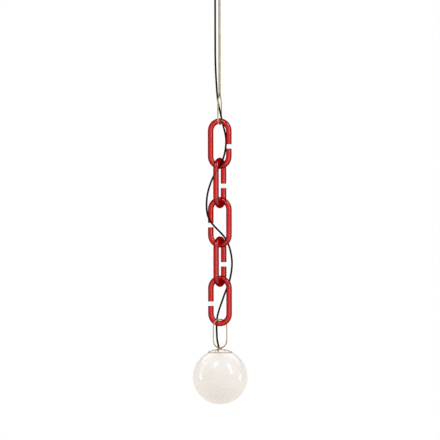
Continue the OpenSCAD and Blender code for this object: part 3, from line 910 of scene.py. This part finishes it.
def canopy():
    """Spun brass canopy with a rounded shoulder and a folded hem against the ceiling."""
    low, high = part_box("canopy")
    radius = (high.x - low.x) / 2
    wall = CANOPY_WALL
    corner = 7 * MM
    hem = 1.1 * MM
    bore = STEM_RADIUS + 0.2 * MM
    outline = [(bore, low.z)]
    outline += [(bore + (radius - corner - bore) * i / 12, low.z) for i in range(1, 12)]
    outline += arc((radius - corner, low.z + corner), corner, -90, 0, 14)
    outline += [(radius, high.z - 3 * hem)]
    outline += arc((radius - hem, high.z - hem), hem, 0, 180, 10)
    outline += [(radius - 2 * hem, high.z - 3 * hem), (radius - wall, high.z - 3.4 * hem)]
    outline += arc((radius - corner, low.z + corner), corner - wall, 0, -90, 12)
    outline += [(bore, low.z + wall)]
    metal = brass("brass_canopy", "UV", (8, 0.02, 1), 600)
    shell = lathe("canopy_shell", outline, metal, segments=144)
    bored(shell, middle_of("canopy_grommet"), CANOPY_HOLE, low.z - MM, low.z + 2 * wall)
    return joined(shell, "canopy_cover", "brass", "canopy")


def grommet(node, body, bore, neck_radius, neck_low, neck_high):
    """A rubber grommet with rounded lips, in place of the plain one."""
    low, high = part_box(node)
    outline = ring_profile(
        (high.x - low.x) / 2, bore, low.z, high.z, (neck_radius, neck_low, neck_high), 0.45 * MM
    )
    obj = lathe(f"{node}_ring", outline, RUBBER, middle_of(node), 48)
    return joined(obj, body, "black_rubber", node)


cap()
globe()
canopy()
grommet(
    "canopy_grommet", "canopy_cover", CABLE_RADIUS + 0.1 * MM, CANOPY_HOLE - NECK_PLAY,
    low_of("canopy").z, low_of("canopy").z + CANOPY_WALL,
)


# ---- Supply cable ----

CABLE_NODES = ["cable_upper"] + [f"cable_{k}" for k in range(1, 7)] + ["cable_tail"]
SWINGS = [f"link_{k}_swing" for k in range(1, 6)] + ["lamp_swing"]


def supply_cable():
    """One continuous braided cable, cut between the joints and bent across each of them."""
    spacing = 2.4 * MM
    last_seam, bend_share = 0.45, 0.9
    path = centre_line(CABLE_NODES, spacing)
    rings = rings_along(path, [CABLE_RADIUS] * len(path), 24)
    pivots = [JOINTS[name]["pos_m"][2] for name in SWINGS]
    gaps = [a - b for a, b in zip(pivots, pivots[1:])]
    seams = [pivots[0] + gaps[0] / 2]
    seams += [(a + b) / 2 for a, b in zip(pivots, pivots[1:])]
    seams += [pivots[-1] - gaps[-1] * last_seam]
    levels = [p.z for p in path]
    cuts = [min(range(len(path)), key=lambda i: abs(levels[i] - seam)) for seam in seams]
    bounds = [0] + cuts + [len(path) - 1]
    for k, (first, last) in enumerate(zip(bounds, bounds[1:])):
        part = slice(first, last + 1)
        name = CABLE_NODES[k]
        obj = skin(f"{name}_sheath", rings[part], path[part], BRAID)
        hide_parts(name)
        if k == 0:
            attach(obj, "stem_mount")
        elif k == len(bounds) - 2:
            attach(obj, "lamp")
        else:
            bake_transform(obj)


supply_cable()

grommet(
    "cap_grommet", "lamp", CABLE_RADIUS + 0.3 * MM, CAP_HOLE - NECK_PLAY,
    high_of("cap").z - 3.2 * MM, high_of("cap").z - 0.9 * MM,
)


# ---- Finishes of the CAD pieces that stay ----

for part in frame["record"]["subparts"]:
    shown = NODES[part["node"]]
    if shown.hide_render:
        continue
    shown.data.materials.clear()
    shown.data.materials.append(CAD_MATERIALS[part["material_slot"]])
NODES["loop_saddle"].data.materials[0] = lower_metal


# ---- Floor, light and camera ----

def floor():
    """A pale floor under the lamp that fades out, so that no horizon shows."""
    radii = (1.2, 2.8, 4.4)
    fade_from, fade_to = 1.2, 4.2
    below_lamp = 0.45
    made, tree = material("floor")
    at = add(tree, "TexCoord").outputs["Object"]
    away = add(tree, "VectorMath", {0: at}, operation="LENGTH").outputs["Value"]
    grain = noise(tree, place(tree, EVEN), 40, 4)
    pale = ramp(tree, grain, (0.80, 0.775, 0.74), (0.84, 0.815, 0.785), 0.3, 0.7)
    lit = add(tree, "BsdfDiffuse", {"Color": pale}).outputs[0]
    clear = add(tree, "BsdfTransparent").outputs[0]
    under = add(tree, "NewGeometry").outputs["Backfacing"]
    fade = number(tree, "MAXIMUM", spread(tree, away, 0, 1, fade_from, fade_to), under)
    mixed = add(tree, "MixShader", {"Fac": fade, 1: lit, 2: clear}).outputs[0]
    finish_material(tree, mixed)
    count = 96
    turns = [math.tau * k / count for k in range(count)]
    verts = [(0, 0, 0)]
    faces = []
    for radius in radii:
        verts += [(radius * math.cos(t), radius * math.sin(t), 0) for t in turns]
    for k in range(count):
        m = (k + 1) % count
        faces.append((0, 1 + k, 1 + m))
        for ring in range(len(radii) - 1):
            a, b = 1 + ring * count, 1 + (ring + 1) * count
            faces.append((a + k, b + k, b + m, a + m))
    obj = piece("floor", verts, faces, made)
    obj.location = (0, 0, cad_box[0].z - below_lamp)


def studio():
    """White behind the object, and a room of soft light for it to reflect."""
    world = bpy.data.worlds.new("studio")
    bpy.context.scene.world = world
    world.use_nodes = True
    tree = world.node_tree
    tree.nodes.clear()
    towards = add(tree, "TexCoord").outputs["Generated"]

    def part_along(direction):
        values = {0: towards, 1: tuple(direction)}
        return add(tree, "VectorMath", values, operation="DOT_PRODUCT").outputs["Value"]

    rise = part_along(UP)
    turn = number(tree, "ARCTAN2", part_along(RIGHT), part_along(-AHEAD))
    window = number(
        tree, "MULTIPLY",
        spread(tree, turn, 0, 1, math.radians(-38), math.radians(-14)),
        spread(tree, turn, 1, 0, math.radians(58), math.radians(88)),
    )
    band = number(tree, "MULTIPLY", window, spread(tree, rise, 1, 0, 0.35, 0.8))
    overhead = spread(tree, rise, 0, 1, 0.5, 0.75)
    room = ramp(tree, rise, (0.66, 0.60, 0.53), (0.34, 0.33, 0.32), -0.3, 0.05)
    ahead = part_along(AHEAD)
    behind = number(
        tree, "MULTIPLY",
        spread(tree, ahead, 0, 0.4, 0.35, 0.95), spread(tree, rise, 1, 0, 0.15, 0.4),
    )
    # the ceiling beyond the lamp is what the cap's front half reflects
    beyond = number(
        tree, "MULTIPLY",
        spread(tree, ahead, 0, 0.9, 0.15, 0.45), spread(tree, rise, 0, 1, 0.42, 0.6),
    )
    level_light = number(tree, "ADD", number(tree, "MULTIPLY", band, 0.35), behind)
    high_light = number(tree, "ADD", number(tree, "MULTIPLY", overhead, 0.15), beyond)
    bright = number(tree, "ADD", level_light, high_light)
    shine = mix(tree, 1.0, room, bright, blend_type="ADD")
    soft = ramp(tree, rise, (0.88, 0.835, 0.785), (1.02, 1.0, 0.985), -0.7, 0.7)
    path = add(tree, "LightPath")
    colour = mix(tree, path.outputs["Is Glossy Ray"], soft, shine)
    colour = mix(tree, path.outputs["Is Camera Ray"], colour, WHITE)
    back = add(tree, "Background", {"Color": colour, "Strength": 1.0}).outputs[0]
    output = tree.nodes.new("ShaderNodeOutputWorld")
    tree.links.new(back, output.inputs["Surface"])


def softbox(name, turn, rise, distance, width, height, radiance, level=GLOBE_LEVEL, only=()):
    """An area light aimed at a level on the axis; only limits it to some of the pieces."""
    a, e = CAMERA_TURN + math.radians(turn), math.radians(rise)
    away = Vector((math.sin(a) * math.cos(e), -math.cos(a) * math.cos(e), math.sin(e)))
    light = bpy.data.lights.new(name, "AREA")
    light.shape = "RECTANGLE"
    light.size, light.size_y = width, height
    light.energy = radiance * math.pi * width * height
    obj = bpy.data.objects.new(name, light)
    obj.location = UP * level + away * distance
    obj.rotation_euler = (-away).to_track_quat("-Z", "Y").to_euler()
    bpy.context.scene.collection.objects.link(obj)
    if only:
        lit = bpy.data.collections.new(f"{name}_lit")
        for shown in only:
            lit.objects.link(shown)
        obj.light_linking.receiver_collection = lit


def camera():
    """A long lens level with the object; the span sets the share of the drop that is in view."""
    span = 1.128
    distance = 12.0
    below_globe = 0.1615
    shift = 0.4 * MM
    roll = math.radians(0.11)
    level = GLOBE_LEVEL - below_globe + span / 2
    data = bpy.data.cameras.new("camera")
    data.sensor_width = 36
    data.lens = data.sensor_width * distance / span
    data.clip_end = 200
    obj = bpy.data.objects.new("camera", data)
    bpy.context.scene.collection.objects.link(obj)
    obj.location = -AHEAD * distance + UP * level + RIGHT * shift
    obj.rotation_mode = "QUATERNION"
    obj.rotation_quaternion = Quaternion(AHEAD, roll) @ AHEAD.to_track_quat("-Z", "Y")
    bpy.context.scene.camera = obj


CHAIN_MIDDLE = (high_of("link_1").z + low_of("link_5").z) / 2

floor()
studio()
softbox("strip_left", -94, 30, 2.6, 0.30, 1.9, 2.4)
softbox("box_left", -88, 1, 2.6, 0.46, 0.7, 4.5)
softbox("box_front", -28, 55, 2.6, 0.50, 1.1, 4.5)
softbox("strip_right", 51, 34, 2.6, 0.34, 1.9, 4.6)
softbox("box_right", 93, 0, 2.6, 0.40, 0.8, 4.0)
softbox("band_rods", 24, 4, 3.0, 0.7, 2.6, 3.0, CHAIN_MIDDLE, RODS)
softbox("band_back", 200, 4, 3.0, 0.7, 2.6, 2.4, CHAIN_MIDDLE, RODS)
softbox("streak_right", 50, 50, 2.6, 0.50, 0.9, 12.0, CHAIN_MIDDLE, RODS)
softbox("streak_left", -60, 46, 2.6, 0.50, 0.9, 12.0, CHAIN_MIDDLE, RODS)
camera()
bpy.context.scene.view_settings.view_transform = "Standard"
